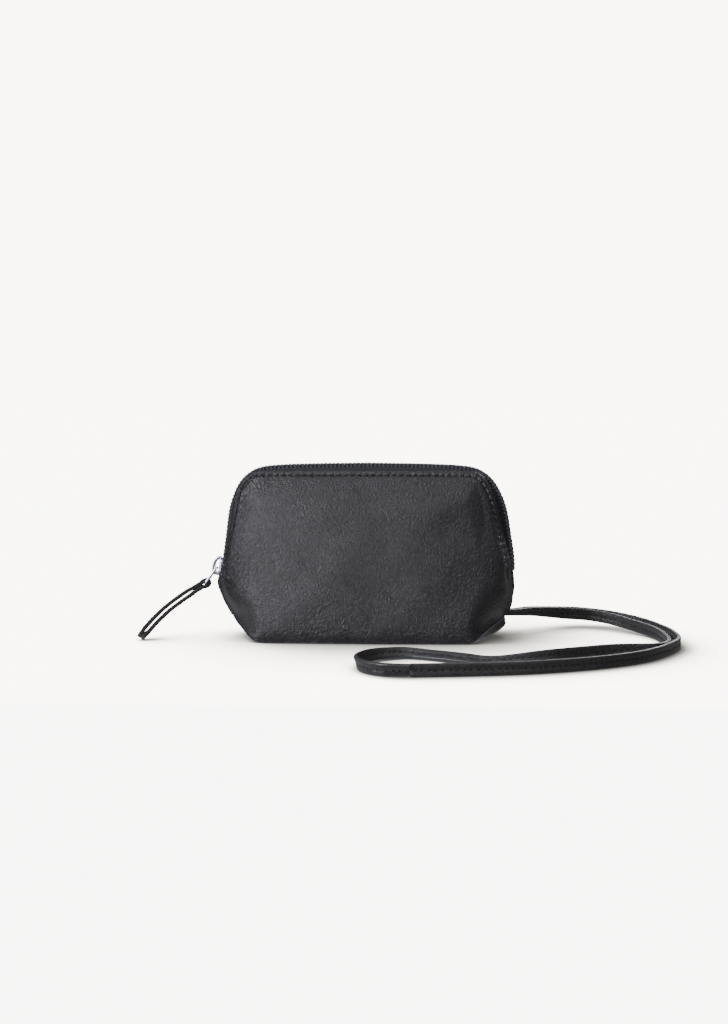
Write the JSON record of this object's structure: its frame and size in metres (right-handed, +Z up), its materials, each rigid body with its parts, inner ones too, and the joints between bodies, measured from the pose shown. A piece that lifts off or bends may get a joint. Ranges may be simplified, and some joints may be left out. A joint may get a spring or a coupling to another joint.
{
  "type": "makeup bag",
  "caption": "Small zipped leather makeup bag on a narrow flat base, with a wrap-round metal zip, a leather zip pull and a long looped wrist strap.",
  "frame": {"origin": "on the floor under the middle of the base, on the base panel's flat underside", "axes": "+X along the bag towards the end with the strap, +Y to the back of the bag, +Z up"},
  "size_m": [0.3197, 0.1867, 0.1053],
  "materials": {
    "body_leather": "black pebbled leather, soft sheen",
    "trim_leather": "black smooth leather",
    "lining_cloth": "plain dark woven cloth",
    "stiffener": "plain stiffener sheet",
    "zip_tape": "black woven tape",
    "teeth_metal": "black oxide metal",
    "bright_metal": "polished nickel"
  },
  "bodies": {
    "bag": {"front_panel": "body_leather", "back_panel": "body_leather", "base_panel": "trim_leather", "front_lining": "lining_cloth", "back_lining": "lining_cloth", "base_lining": "lining_cloth", "base_board": "stiffener", "zip_teeth_front": "teeth_metal", "zip_teeth_back": "teeth_metal", "zip_tape_front": "zip_tape", "zip_tape_back": "zip_tape", "top_stop_front": "bright_metal", "top_stop_back": "bright_metal", "bottom_stop": "teeth_metal", "zip_end_tab_left": "trim_leather", "zip_end_tab_right": "trim_leather"},
    "slider": {"slider_body": "bright_metal", "slider_bridge": "bright_metal"},
    "link": {"pull_link": "bright_metal"},
    "pull": {"pull_strip": "trim_leather"},
    "strap": {"strap_outer_layer": "body_leather", "strap_inner_layer": "body_leather"}
  },
  "joints": [
    {"name": "slider_travel", "type": "slide", "parent": "bag", "child": "slider", "axis": [0.1184, 0, 0.993], "range_m": [0, 0.03]},
    {"name": "link_swing", "type": "hinge", "parent": "slider", "child": "link", "pos_m": [-0.09123, 0, 0.04095], "axis": [0, 1, 0], "range_deg": [-15, 80]},
    {"name": "pull_swing", "type": "hinge", "parent": "link", "child": "pull", "pos_m": [-0.0981, 0, 0.03149], "axis": [0, 1, 0], "range_deg": [-20, 40]},
    {"name": "strap_swing", "type": "hinge", "parent": "bag", "child": "strap", "pos_m": [0.087, 0, 0.0148], "axis": [0, 0, 1], "range_deg": [-12, 35]}
  ]
}
